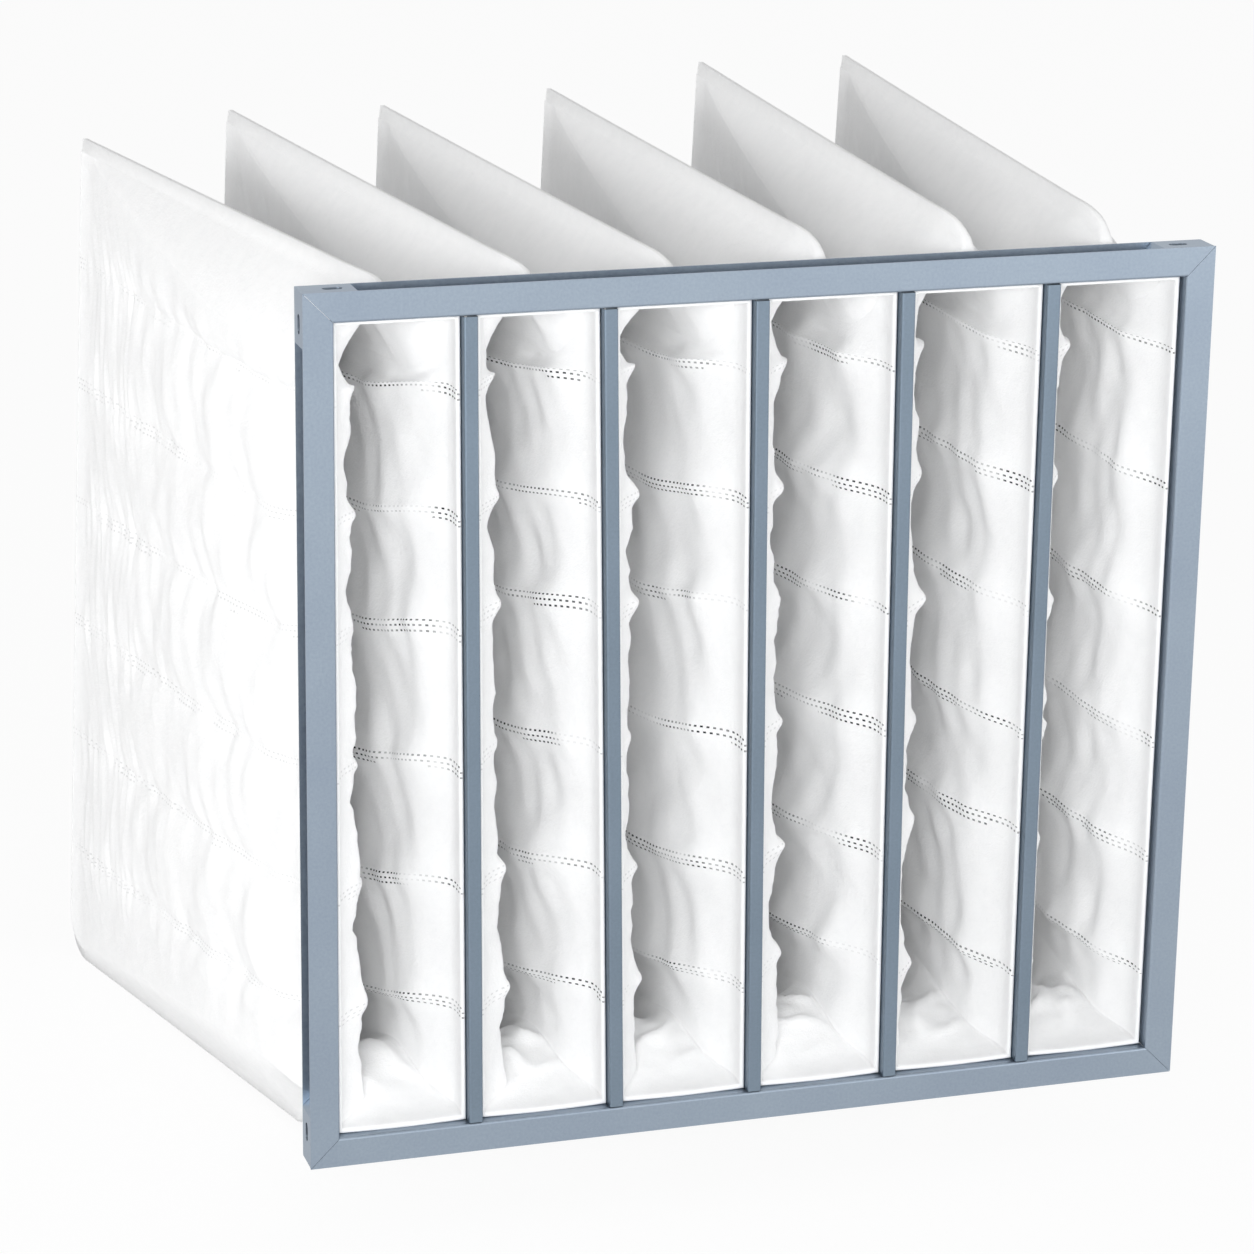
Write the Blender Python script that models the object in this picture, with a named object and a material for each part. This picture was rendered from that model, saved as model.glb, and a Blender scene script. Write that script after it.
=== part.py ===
"""Pocket air filter: a mitred galvanised header, five divider bars and six stitched bags.

Metres, +Z up. Air enters along +Y through the header's front face. The header stands
upright, and the frame's origin is the middle of the whole filter's footprint.
"""

import math

import bmesh
import bpy
import numpy as np
from mathutils import Matrix, Vector

# Header: four mitred rails of roll-formed channel, open towards the outside
HEADER_WIDTH = 0.620
HEADER_HEIGHT = 0.592
HEADER_DEPTH = 0.025
FACE_WIDTH = 0.020
REAR_FLANGE = 0.0195
SHEET = 0.001
BEND_RADIUS = 0.0015
MITRE_GAP = 0.0003

# Corner keys: bent strips that lock neighbouring rails together inside their channels
KEY_SHEET = 0.0012
KEY_LEG = 0.036
KEY_RECESS = 0.0003
SLOT_LENGTH = 0.013
SLOT_WIDTH = 0.006
SLOT_CENTRE = 0.022

# Divider bars: channels open towards the bags, between the top and the bottom rail
POCKETS = 6
BAR_WIDTH = 0.0095
BAR_SHEET = 0.0008
BAR_BEND = 0.0012
BAR_END_GAP = 0.0006
# How far each bar's top end was fitted out of plumb
BAR_TOP_DRIFT = (-0.005, -0.011, -0.007, -0.005, -0.001)

# Mouth wires: a loop of spring wire that holds each bag's hem open in its cell
WIRE_RADIUS = 0.0012
WIRE_CORNER = 0.006
WIRE_FRONT = 0.012

# Bags: two panels of wadding, sewn flat to one another along the top, the rear and the bottom
MEDIA = 0.003
SEAM_WIDTH = 0.009
SEAM_HALF = 0.0031
POCKET_DEPTH = 0.550
POCKET_REAR_HEIGHT = 0.641
CORNER_ROUND = 0.025
CAVITY_END = 0.014
THIN_END = 0.0004

# Behind the mouth a bag stands nearly as tall as it was sewn: its ridge climbs at once, its
# keel drops later, and the floor between them lies bunched up
NEAR_LOSS = 0.013
RISE_LENGTH = 0.060
RISE_POWER = 3
DROP_START = 0.085
DROP_LENGTH = 0.080
FLOOR_HUMP = 0.024
FLOOR_AT = 0.112
FLOOR_SPREAD = 0.050
GABLE_SLOPE = 1.35
GABLE_POWER = 1.6
GABLE_MAX = 0.055

# Flat seam on the ridge and the keel: how wide it opens into the mouth, and how it tapers
CREASE_SHARE = 0.30
CREASE_LIMIT = 0.90
CREST_SHARE = 0.95
INNER_CREST_SHARE = 0.60

# Stitch rows: threads that tie the panels together and part them into channels
STITCH_ROWS = 6
MOUTH_ROW_TOP = 0.226
MOUTH_ROW_PITCH = (0.0845, 0.0845, 0.0855, 0.0835, 0.086, 0.089)
REAR_ROW_PITCH = 0.092
CLOSE_START = 0.014
CLOSE_LENGTH = 0.050
LOBE_CLOSE = 0.20
ROW_CLOSE = 0.42
ROW_TAPER = 0.85
BELLY_POWER = 2.2
SIDE_BULGE = 0.004
BULGE_AT = 0.20
BULGE_SPREAD = 0.12

# The left panel's hem hangs into its cell, more at the rows' foot and low down in some bags
LIP_LOBE = 0.012
LIP_ROW = 0.006
LIP_LOW = (0.012, 0.012, 0.004, 0.008, 0.002, -0.004)
LIP_AT = 0.045
LIP_SPREAD = 0.022

# How the soft bags hang: they droop or lift behind the mouth, fan out and lean to one side
NEAR_LIFT = (-0.020, -0.016, -0.016, -0.007, -0.002, -0.002)
REAR_LIFT = (-0.023, -0.006, -0.007, 0.001, 0.017, 0.018)
REAR_PITCH = 0.1195
REAR_LEAN = -0.054
REAR_TILT = -0.025
REAR_DRIFT = (0.005, -0.005, -0.008, 0.003, 0.005, 0.003)

# Clearance between pieces that touch
FIT = 0.0003

# Worked out from the sizes above
OPENING_WIDTH = HEADER_WIDTH - 2 * FACE_WIDTH
OPENING_HEIGHT = HEADER_HEIGHT - 2 * FACE_WIDTH
CELL_WIDTH = (OPENING_WIDTH - (POCKETS - 1) * BAR_WIDTH) / POCKETS
CELL_PITCH = CELL_WIDTH + BAR_WIDTH
HEM_FRONT = WIRE_FRONT + 2 * WIRE_RADIUS + FIT
MOUTH_HALF_HEIGHT = OPENING_HEIGHT / 2 - FIT
BAR_HEIGHT = OPENING_HEIGHT - 2 * BAR_END_GAP

# Facets: where a channel's corners lie between two rows, and how far out they stand
CHANNEL_CORNERS = (0.0, 0.19, 0.81)
CORNER_REACH = 0.94
ARC_STEPS = 3
# Depth at which a bag's belly ends and its taper steepens
WAIST_AT = 0.352


def clear_scene():
    """Remove whatever the open file holds."""
    for thing in list(bpy.data.objects):
        bpy.data.objects.remove(thing, do_unlink=True)


def new_collection(name):
    """A collection linked to the scene."""
    group = bpy.data.collections.new(name)
    bpy.context.scene.collection.children.link(group)
    return group


def new_material(name, colour, roughness, metallic):
    """A plain Principled material."""
    material = bpy.data.materials.new(name)
    material.use_nodes = True
    shader = material.node_tree.nodes["Principled BSDF"]
    shader.inputs["Base Color"].default_value = (*colour, 1.0)
    shader.inputs["Roughness"].default_value = roughness
    shader.inputs["Metallic"].default_value = metallic
    return material


def mesh_object(name, shape, material, group, parent, location=(0.0, 0.0, 0.0)):
    """Turn a bmesh into a named object with one material."""
    bmesh.ops.recalc_face_normals(shape, faces=shape.faces)
    mesh = bpy.data.meshes.new(name)
    shape.to_mesh(mesh)
    shape.free()
    mesh.materials.append(material)
    thing = bpy.data.objects.new(name, mesh)
    thing.parent = parent
    thing.location = location
    group.objects.link(thing)
    return thing


def arc(centre, radius, start, stop):
    """Points of a circular arc, both ends included, angles in degrees."""
    angles = np.radians(np.linspace(start, stop, ARC_STEPS + 1))
    return [(centre[0] + radius * math.cos(a), centre[1] + radius * math.sin(a)) for a in angles]


def channel_profile(web, flange, other_flange, sheet, radius):
    """Outline of a bent channel: its web stands on the first axis at 0, flanges run to +."""
    inner = radius - sheet if radius > sheet else 0.0002
    outline = [(flange, 0.0)]
    outline += arc((radius, radius), radius, 270, 180)
    outline += arc((radius, web - radius), radius, 180, 90)
    outline += [(other_flange, web), (other_flange, web - sheet)]
    middle = sheet + inner
    outline += arc((middle, web - middle), inner, 90, 180)
    outline += arc((middle, middle), inner, 180, 270)
    outline += [(flange, sheet)]
    return outline


def extrude_outline(outline, place, length, end_shift):
    """Extrude an outline along X, each end sheared by end_shift of the outline's first value."""
    shape = bmesh.new()
    ends = []
    for side in (-1, 1):
        ring = []
        for across, depth in outline:
            along = side * (length / 2 - end_shift(across))
            ring.append(shape.verts.new(place(along, across, depth)))
        ends.append(ring)
    count = len(outline)
    for k in range(count):
        after = (k + 1) % count
        shape.faces.new((ends[0][k], ends[0][after], ends[1][after], ends[1][k]))
    for ring in ends:
        shape.faces.new(ring)
    return shape


def build_rail(name, length, turn, offset, material, group, parent):
    """One header rail, modelled as the top rail and turned round the header's centre."""
    outline = channel_profile(HEADER_DEPTH, FACE_WIDTH, REAR_FLANGE, SHEET, BEND_RADIUS)

    def place(along, across, depth):
        return Vector((along, depth, offset - FACE_WIDTH + across))

    def mitre(across):
        return FACE_WIDTH - across + MITRE_GAP / 2

    shape = extrude_outline(outline, place, length, mitre)
    bmesh.ops.rotate(shape, verts=shape.verts, cent=(0, 0, 0), matrix=Matrix.Rotation(turn, 3, "Y"))
    return mesh_object(name, shape, material, group, parent)


def build_header(material, group, parent):
    """The four mitred rails."""
    half_w = HEADER_WIDTH / 2
    half_h = HEADER_HEIGHT / 2
    rails = (
        ("header_top", HEADER_WIDTH, 0.0, half_h),
        ("header_right", HEADER_HEIGHT, math.pi / 2, half_w),
        ("header_bottom", HEADER_WIDTH, math.pi, half_h),
        ("header_left", HEADER_HEIGHT, -math.pi / 2, half_w),
    )
    for name, length, turn, offset in rails:
        build_rail(name, length, turn, offset, material, group, parent)


def key_outline():
    """Side outline of a corner key, from its corner at (0, 0), legs towards +X and -Z.

    Each leg runs just inside the rails' outer edges, then a tongue slopes down to the web.
    """
    outer = KEY_RECESS
    inner = KEY_RECESS + KEY_SHEET
    drop = FACE_WIDTH - SHEET - FIT
    slant = KEY_SHEET * math.sqrt(2)
    reach = KEY_LEG + (drop - outer)
    leg = [
        (KEY_LEG, outer),
        (reach, drop),
        (reach - slant, drop),
        (KEY_LEG - slant + KEY_SHEET, inner),
    ]
    side = [(outer, outer)] + leg + [(inner, inner)]
    return [(a, -b) for a, b in side] + [(b, -a) for a, b in reversed(leg)]


def slot_cutter(name, centre, along, group):
    """A cutter for one oval slot, through a leg that runs along the given axis."""
    shape = bmesh.new()
    straight = SLOT_LENGTH - SLOT_WIDTH
    radius = SLOT_WIDTH / 2
    outline = [(straight / 2 + x, y) for x, y in arc((0, 0), radius, -90, 0)]
    outline += [(straight / 2 + x, y) for x, y in arc((0, 0), radius, 0, 90)][1:]
    outline += [(-x, -y) for x, y in outline]
    deep = 4 * KEY_SHEET
    rings = []
    for level in (-deep, deep):
        ring = []
        for x, y in outline:
            point = (x, y, level) if along == "X" else (level, y, x)
            ring.append(shape.verts.new(Vector(centre) + Vector(point)))
        rings.append(ring)
    count = len(outline)
    for k in range(count):
        after = (k + 1) % count
        shape.faces.new((rings[0][k], rings[0][after], rings[1][after], rings[1][k]))
    for ring in rings:
        shape.faces.new(ring)
    bmesh.ops.recalc_face_normals(shape, faces=shape.faces)
    mesh = bpy.data.meshes.new(name)
    shape.to_mesh(mesh)
    shape.free()
    cutter = bpy.data.objects.new(name, mesh)
    cutter.hide_render = True
    cutter.display_type = "WIRE"
    group.objects.link(cutter)
    return cutter


def build_corner_keys(material, group, cutters, parent):
    """A slotted key in each corner of the header."""
    width = HEADER_DEPTH - 2 * SHEET - 2 * FIT
    middle = HEADER_DEPTH / 2
    corners = (("top_left", 1, 1), ("top_right", -1, 1), ("bottom_left", 1, -1), ("bottom_right", -1, -1))
    for label, to_x, to_z in corners:
        corner = Vector((-to_x * HEADER_WIDTH / 2, middle, to_z * HEADER_HEIGHT / 2))
        shape = bmesh.new()
        rings = []
        for y in (-width / 2, width / 2):
            rings.append([shape.verts.new((to_x * a, y, to_z * b)) for a, b in key_outline()])
        count = len(rings[0])
        for k in range(count):
            after = (k + 1) % count
            shape.faces.new((rings[0][k], rings[0][after], rings[1][after], rings[1][k]))
        for ring in rings:
            shape.faces.new(ring)
        key = mesh_object(f"corner_key_{label}", shape, material, group, parent, corner)
        for along in ("X", "Z"):
            centre = (to_x * SLOT_CENTRE, 0, 0) if along == "X" else (0, 0, -to_z * SLOT_CENTRE)
            cutter = slot_cutter(f"slot_{label}_{along}", centre, along, cutters)
            cutter.parent = key
            cut = key.modifiers.new(f"slot_{along}", "BOOLEAN")
            cut.operation = "DIFFERENCE"
            cut.solver = "EXACT"
            cut.object = cutter


def bar_place(number):
    """Sideways place of a bar's bottom end and of its top end, bars counted from the left."""
    straight = (number - POCKETS / 2) * CELL_PITCH
    return straight, straight + BAR_TOP_DRIFT[number - 1]


def build_bars(material, group, parent):
    """The upright channels between the bags' mouths, each a little out of plumb."""
    outline = channel_profile(BAR_WIDTH, HEADER_DEPTH, HEADER_DEPTH, BAR_SHEET, BAR_BEND)
    for number in range(1, POCKETS):
        bottom, top = bar_place(number)
        lean = (top - bottom) / BAR_HEIGHT
        middle = (top + bottom) / 2

        def place(along, across, depth):
            return Vector((middle + lean * along + depth - BAR_WIDTH / 2, across, along))

        shape = extrude_outline(outline, place, BAR_HEIGHT, lambda across: 0.0)
        mesh_object(f"divider_bar_{number}", shape, material, group, parent)


def cell_side(number, side, z):
    """Sideways place of a cell's left (-1) or right (+1) wall at a height."""
    if number == 1 and side < 0:
        return -OPENING_WIDTH / 2
    if number == POCKETS and side > 0:
        return OPENING_WIDTH / 2
    bottom, top = bar_place(number if side > 0 else number - 1)
    share = z / BAR_HEIGHT + 0.5
    return bottom + (top - bottom) * share - side * BAR_WIDTH / 2


def build_wires(material, group, parent):
    """A rounded wire loop in front of each bag's hem, close against its cell's walls."""
    for number in range(1, POCKETS + 1):
        inset = FIT + WIRE_RADIUS
        top = OPENING_HEIGHT / 2 - inset
        points = []
        for side, up, start in ((1, 1, 0), (-1, 1, 90), (-1, -1, 180), (1, -1, 270)):
            corner_z = up * (top - WIRE_CORNER)
            for x, z in arc((0, 0), WIRE_CORNER, start, start + 90):
                height = corner_z + z
                wall = cell_side(number, side, height) - side * (inset + WIRE_CORNER)
                points.append((wall + x, WIRE_FRONT + WIRE_RADIUS, height))
        curve = bpy.data.curves.new(f"mouth_wire_{number}", "CURVE")
        curve.dimensions = "3D"
        curve.bevel_depth = WIRE_RADIUS
        curve.bevel_resolution = 1
        spline = curve.splines.new("POLY")
        spline.points.add(len(points) - 1)
        for point, place in zip(spline.points, points):
            point.co = (*place, 1.0)
        spline.use_cyclic_u = True
        curve.materials.append(material)
        wire = bpy.data.objects.new(f"mouth_wire_{number}", curve)
        wire.parent = parent
        group.objects.link(wire)


def ease(value):
    """Smooth step from 0 to 1."""
    value = min(max(value, 0.0), 1.0)
    return value * value * (3 - 2 * value)


def hump(y, centre, spread):
    """A smooth hump of height 1 about a depth."""
    return math.exp(-(((y - centre) / spread) ** 2))


def along_bag(y):
    """Share of the way from the header's rear to the rear seam."""
    return min(max((y - HEADER_DEPTH) / (POCKET_DEPTH - HEADER_DEPTH), 0.0), 1.0)


def ridge_and_keel(number, y):
    """Heights of a bag's top and bottom edges at a depth, without the seam that stands on them."""
    along = along_bag(y)
    half_rear = POCKET_REAR_HEIGHT / 2 - SEAM_WIDTH
    half_tall = half_rear - NEAR_LOSS / 2 * (1 - along)
    axis = NEAR_LIFT[number - 1] * (1 - along) + REAR_LIFT[number - 1] * along
    rise = 1 - (1 - min(max((y - HEADER_DEPTH) / RISE_LENGTH, 0.0), 1.0)) ** RISE_POWER
    drop = min(max((y - DROP_START) / DROP_LENGTH, 0.0), 1.0)
    ridge = MOUTH_HALF_HEIGHT + (axis + half_tall - MOUTH_HALF_HEIGHT) * rise
    keel = -MOUTH_HALF_HEIGHT + (axis - half_tall + MOUTH_HALF_HEIGHT) * drop
    corner = min(max(0.0, y - (POCKET_DEPTH - CORNER_ROUND)) / CORNER_ROUND, 1.0)
    keel += CORNER_ROUND * (1 - math.sqrt(1 - corner**2))
    return ridge, keel, rise, drop


def panel_levels(number, y, inner):
    """Heights up a panel at a depth, with the share of a channel's fullness at each."""
    along = along_bag(y)
    ridge, keel, rise, drop = ridge_and_keel(number, y)
    gable = min(CELL_WIDTH / 2 * (1 - along**GABLE_POWER) * GABLE_SLOPE, GABLE_MAX)
    top = ridge - gable * rise
    bottom = keel + gable * drop
    settle = NEAR_LIFT[number - 1] * (1 - along) * ease((y - HEADER_DEPTH) / (2 * RISE_LENGTH))
    marks = [bottom]
    for row in range(STITCH_ROWS - 1, -1, -1):
        mouth = MOUTH_ROW_TOP - row * MOUTH_ROW_PITCH[number - 1]
        rear = REAR_LIFT[number - 1] + ((STITCH_ROWS - 1) / 2 - row) * REAR_ROW_PITCH
        marks.append(mouth * (1 - along) + rear * along + settle)
    marks.append(top)
    levels = []
    for channel, (low, high) in enumerate(zip(marks, marks[1:])):
        for corner in CHANNEL_CORNERS:
            at_row = corner == 0.0 and channel > 0
            full = 0.0 if at_row else CORNER_REACH
            levels.append([low + (high - low) * corner, full])
    levels.append([top, CORNER_REACH])
    if inner:
        # The cavity's floor and roof shift, the rows stay level with those outside
        raised = MEDIA + FLOOR_HUMP * hump(y, FLOOR_AT, FLOOR_SPREAD)
        fade = 1 - CHANNEL_CORNERS[1] / CHANNEL_CORNERS[2]
        levels[0][0] += raised
        levels[1][0] += raised * fade
        levels[-1][0] -= MEDIA
        levels[-2][0] -= MEDIA * fade
    return levels


def panel_x(number, side, y, z, full, inner):
    """Sideways place of a panel: full is 0 at a stitch row and 1 where a channel bulges most.

    From the mouth's square cell the panels draw in to the length of the threads, then taper
    to the rear seam.
    """
    along = along_bag(y)
    wall = cell_side(number, side, z) - side * FIT
    centre = (cell_side(number, -1, z) + cell_side(number, 1, z)) / 2
    tip = REAR_LEAN + (number - (POCKETS + 1) / 2) * REAR_PITCH + REAR_DRIFT[number - 1]
    rear_top = POCKET_REAR_HEIGHT / 2 + REAR_LIFT[number - 1]
    tip += REAR_TILT * (rear_top - z) / POCKET_REAR_HEIGHT
    spine = centre + (tip - centre) * along
    mouth = abs(wall - centre)
    close = ease((y - CLOSE_START) / CLOSE_LENGTH)
    lobe = mouth * (1 - LOBE_CLOSE * close) * (1 - along**BELLY_POWER)
    lobe += SIDE_BULGE * hump(y, BULGE_AT, BULGE_SPREAD)
    row = mouth * (1 - ROW_CLOSE * close) * (1 - ROW_TAPER * along)
    if side < 0:
        lip = hump(y, LIP_AT, LIP_SPREAD)
        low = LIP_LOW[number - 1] * (0.5 - z / OPENING_HEIGHT)
        lobe -= (LIP_LOBE + low) * lip
        row -= (LIP_ROW + low) * lip
    half = max(row + (lobe - row) * full, SEAM_HALF)
    if y <= HEM_FRONT:
        half = mouth
    thick = MEDIA if inner else 0.0
    return spine, side * max(half - thick, THIN_END)


def bag_section(number, y, inner):
    """One loop round a bag at a depth: up its left panel, then down its right panel.

    The outer loop carries the flat seam on its ridge and keel; the inner one lies a
    wadding's thickness inside it.
    """
    ridge, keel, rise, drop = ridge_and_keel(number, y)
    thick = MEDIA if inner else 0.0
    ridge -= thick
    keel += thick
    if inner:
        keel += FLOOR_HUMP * hump(y, FLOOR_AT, FLOOR_SPREAD)
    levels = panel_levels(number, y, inner)

    def edge_points(side, z, outwards, shown, at_panel):
        """Crest and foot of the flat seam on the ridge or the keel, foot last."""
        spine = panel_x(number, side, y, z, 1.0, inner)[0]
        flat = at_panel * (1 - shown) * CREASE_SHARE + SEAM_HALF * shown
        flat = max(min(flat, CREASE_LIMIT * at_panel) - thick, THIN_END / 2)
        crest = THIN_END if inner else SEAM_WIDTH * shown
        tight = flat * (INNER_CREST_SHARE if inner else CREST_SHARE)
        return [(spine + side * tight, z + outwards * crest), (spine + side * flat, z)]

    def half_loop(side):
        """The keel's points, the panel from the bottom up, and the ridge's points."""
        panel = []
        for z, full in levels:
            spine, offset = panel_x(number, side, y, z, full, inner)
            panel.append((spine + offset, z, abs(offset) + thick))
        points = edge_points(side, keel, -1, drop, panel[0][2])
        points += [(x, z) for x, z, reach in panel]
        return points + edge_points(side, ridge, 1, rise, panel[-1][2])[::-1]

    loop = half_loop(-1) + half_loop(1)[::-1]
    return [(x, y, z) for x, z in loop]


def build_bag(number, material, group, parent):
    """One bag: a loft that runs from the cavity's end out to the mouth and back outside.

    The skin is built by rings, because it turns from a square mouth into a flat seam.
    """
    turns = [HEM_FRONT, HEADER_DEPTH, LIP_AT, DROP_START, DROP_START + DROP_LENGTH, WAIST_AT]
    inside = turns + [POCKET_DEPTH - CAVITY_END]
    outside = turns + [POCKET_DEPTH - CORNER_ROUND / 2, POCKET_DEPTH]
    stations = [(y, True) for y in reversed(inside)] + [(y, False) for y in outside]
    shape = bmesh.new()
    rings = []
    for y, inner in stations:
        rings.append([shape.verts.new(point) for point in bag_section(number, y, inner)])
    count = len(rings[0])

    def width(ring, k):
        """How far apart the two panels stand at a point of a ring."""
        return abs(ring[k].co.x - ring[count - 1 - k].co.x)

    for ring, following in zip(rings, rings[1:]):
        for k in range(count):
            after = (k + 1) % count
            quad = (ring[k], ring[after], following[after], following[k])
            # Both skins crease along the diagonal that stands farther out, so they stay apart
            if width(ring, k) + width(following, after) >= width(ring, after) + width(following, k):
                shape.faces.new((quad[0], quad[1], quad[2]))
                shape.faces.new((quad[0], quad[2], quad[3]))
            else:
                shape.faces.new((quad[1], quad[2], quad[3]))
                shape.faces.new((quad[1], quad[3], quad[0]))
    for ring in (rings[0], rings[-1]):
        for k in range(count // 2 - 1):
            shape.faces.new((ring[k], ring[k + 1], ring[count - 2 - k], ring[count - 1 - k]))
    return mesh_object(f"pocket_{number}", shape, material, group, parent)


def stand_on_floor(group, parent):
    """Move the whole filter so that the middle of its footprint is the frame's origin."""
    bpy.context.view_layer.update()
    graph = bpy.context.evaluated_depsgraph_get()
    corners = []
    for thing in group.objects:
        if thing.type == "EMPTY":
            continue
        solid = thing.evaluated_get(graph)
        mesh = solid.to_mesh()
        corners += [solid.matrix_world @ vertex.co for vertex in mesh.vertices]
        solid.to_mesh_clear()
    spots = np.array(corners)
    low = spots.min(axis=0)
    high = spots.max(axis=0)
    parent.location = (-(low[0] + high[0]) / 2, -(low[1] + high[1]) / 2, -low[2])
    bpy.context.view_layer.update()


def main():
    """Build every piece of the filter."""
    clear_scene()
    parts = new_collection("bag_air_filter")
    cutters = new_collection("cutters")
    steel = new_material("galvanised steel", (0.44, 0.50, 0.59), 0.42, 0.85)
    wire = new_material("spring wire", (0.35, 0.36, 0.38), 0.35, 1.0)
    wadding = new_material("white polyester wadding", (0.90, 0.90, 0.90), 0.95, 0.0)
    stand = bpy.data.objects.new("filter_place", None)
    parts.objects.link(stand)
    build_header(steel, parts, stand)
    build_corner_keys(steel, parts, cutters, stand)
    build_bars(steel, parts, stand)
    build_wires(wire, parts, stand)
    for number in range(1, POCKETS + 1):
        build_bag(number, wadding, parts, stand)
    stand_on_floor(parts, stand)


main()
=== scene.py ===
"""Look of the pocket air filter: fine stitched bags, materials, light and camera.

Metres, +Z up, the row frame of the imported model. Air enters along +Y through the header. Each
bag is one closed skin, worked out from the same heights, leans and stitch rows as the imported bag.
"""

import math

import bmesh
import bpy
import numpy as np
from mathutils import Matrix, Vector


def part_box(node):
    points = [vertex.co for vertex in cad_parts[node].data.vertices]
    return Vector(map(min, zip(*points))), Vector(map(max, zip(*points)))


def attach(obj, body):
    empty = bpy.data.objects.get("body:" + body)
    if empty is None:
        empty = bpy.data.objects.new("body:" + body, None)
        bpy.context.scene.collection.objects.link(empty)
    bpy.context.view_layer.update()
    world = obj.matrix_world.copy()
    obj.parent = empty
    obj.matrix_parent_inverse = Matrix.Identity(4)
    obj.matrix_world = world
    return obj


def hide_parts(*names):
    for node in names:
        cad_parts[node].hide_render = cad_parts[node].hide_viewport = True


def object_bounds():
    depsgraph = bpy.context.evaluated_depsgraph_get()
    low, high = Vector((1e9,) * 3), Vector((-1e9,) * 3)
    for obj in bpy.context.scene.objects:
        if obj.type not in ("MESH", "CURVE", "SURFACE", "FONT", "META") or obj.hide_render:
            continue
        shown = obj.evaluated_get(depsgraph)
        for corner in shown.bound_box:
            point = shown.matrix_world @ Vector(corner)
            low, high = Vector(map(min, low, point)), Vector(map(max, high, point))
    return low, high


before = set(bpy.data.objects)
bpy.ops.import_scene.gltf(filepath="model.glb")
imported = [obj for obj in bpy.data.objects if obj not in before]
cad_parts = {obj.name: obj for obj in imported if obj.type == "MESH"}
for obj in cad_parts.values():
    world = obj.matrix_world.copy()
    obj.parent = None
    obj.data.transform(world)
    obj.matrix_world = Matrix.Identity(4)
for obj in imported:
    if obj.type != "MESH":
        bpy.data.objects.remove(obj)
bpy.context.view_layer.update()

# Header and cells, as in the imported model
POCKETS = 6
HEADER_DEPTH = 0.025
FACE_WIDTH = 0.020
BAR_WIDTH = 0.0095
BAR_TOP_DRIFT = (-0.005, -0.011, -0.007, -0.005, -0.001)
FIT = 0.0004

# Bags: the wadding and its hem
MEDIA = 0.003
HEM_FRONT = 0.0065
HEM_RADIUS = 0.0018
HEM_TURNS = 8
HEM_STRAIGHT = 0.003
HEM_BLEND = 0.008
THIN_HALF = 0.0006
# Bags: overall form, lean and droop
POCKET_DEPTH = 0.550
POCKET_REAR_HEIGHT = 0.641
SEAM_WIDTH = 0.009
SEAM_HALF = 0.0031
STITCH_ROWS = 6
NEAR_LOSS = 0.013
NEAR_LIFT = (-0.020, -0.016, -0.016, -0.007, -0.002, -0.002)
CORNER_ROUND = 0.025
REAR_PITCH = 0.1195
REAR_LEAN = -0.054
REAR_TILT = -0.025
REAR_DRIFT = (0.005, -0.005, -0.008, 0.003, 0.005, 0.003)
REAR_LIFT = (-0.023, -0.006, -0.007, 0.001, 0.017, 0.018)
LIP_LOW = (0.012, 0.012, 0.004, 0.008, 0.002, -0.004)
# Heights of each bag's stitch rows at the mouth, from the top row down, about the header's middle
MOUTH_ROWS = (
    (0.226, 0.142, 0.066, -0.028, -0.112, -0.197),
    (0.228, 0.145, 0.075, -0.023, -0.110, -0.196),
    (0.228, 0.141, 0.068, -0.026, -0.120, -0.200),
    (0.224, 0.137, 0.058, -0.024, -0.114, -0.193),
    (0.229, 0.139, 0.052, -0.036, -0.106, -0.212),
    (0.225, 0.131, 0.041, -0.050, -0.133, -0.221),
)
REAR_ROW_PITCH = 0.092
# Ridge and keel leave the mouth; the keel's drop uses the steep middle of a smooth step
RISE_LENGTH = 0.060
RISE_POWER = 3
DROP_START = 0.085
DROP_LENGTH = 0.080
DROP_SHARE = 0.8
DROP_OFFSET = 0.1
DROP_SCALE = 0.972
DROP_STEP = 0.0144
# The floor's crumple and the folds of bunched wadding
FLOOR_HUMP = (0.022, 0.020, 0.018, 0.022, 0.010, 0.009)
FLOOR_AT = 0.095
FLOOR_SPREAD = 0.045
FOLD_HEIGHT = 0.006
FOLD_SHARPNESS = 1.3
FINE_FOLD_HEIGHT = 0.0006
FINE_FOLD_LIFT = 2
FOLD_POWER = 4
FOLD_AT = 0.10
FOLD_SPREAD = 0.09
# The roof: how far the panels' tops lie under the ridge, and the sewn seam on it
GABLE_SLOPE = 1.35
GABLE_POWER = 1.6
GABLE_MAX = 0.055
SEAM_SHARE = 0.30
CREST_REACH = 0.8
TIGHT_HALF = 0.0002
TIGHT_LIMIT = 0.9
ROOF_BEND = 0.75
# Channels between the rows: both narrow behind the mouth, the rows more than the channels
BAND_HALF = 0.030
LOBE_ROUNDNESS = 0.75
CALM_SHARE = 0.7
OPEN_LENGTH = 0.045
OUTER_FILL = 0.55
INNER_FILL = (0.15, 0.50)
CLOSE_START = 0.014
CLOSE_LENGTH = 0.050
LOBE_CLOSE = 0.20
ROW_CLOSE = 0.42
ROW_TAPER = 0.85
BELLY_POWER = 2.2
SIDE_BULGE = 0.004
BULGE_AT = 0.20
BULGE_SPREAD = 0.12
# The left panel's hem hangs into the cell, with a cusp at each row
LIP_LOBE = 0.010
LIP_ROW = 0.006
LIP_AT = 0.045
LIP_SPREAD = 0.022
CUSP_REACH = 0.10
CUSP_HEIGHT = 0.0035
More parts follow.
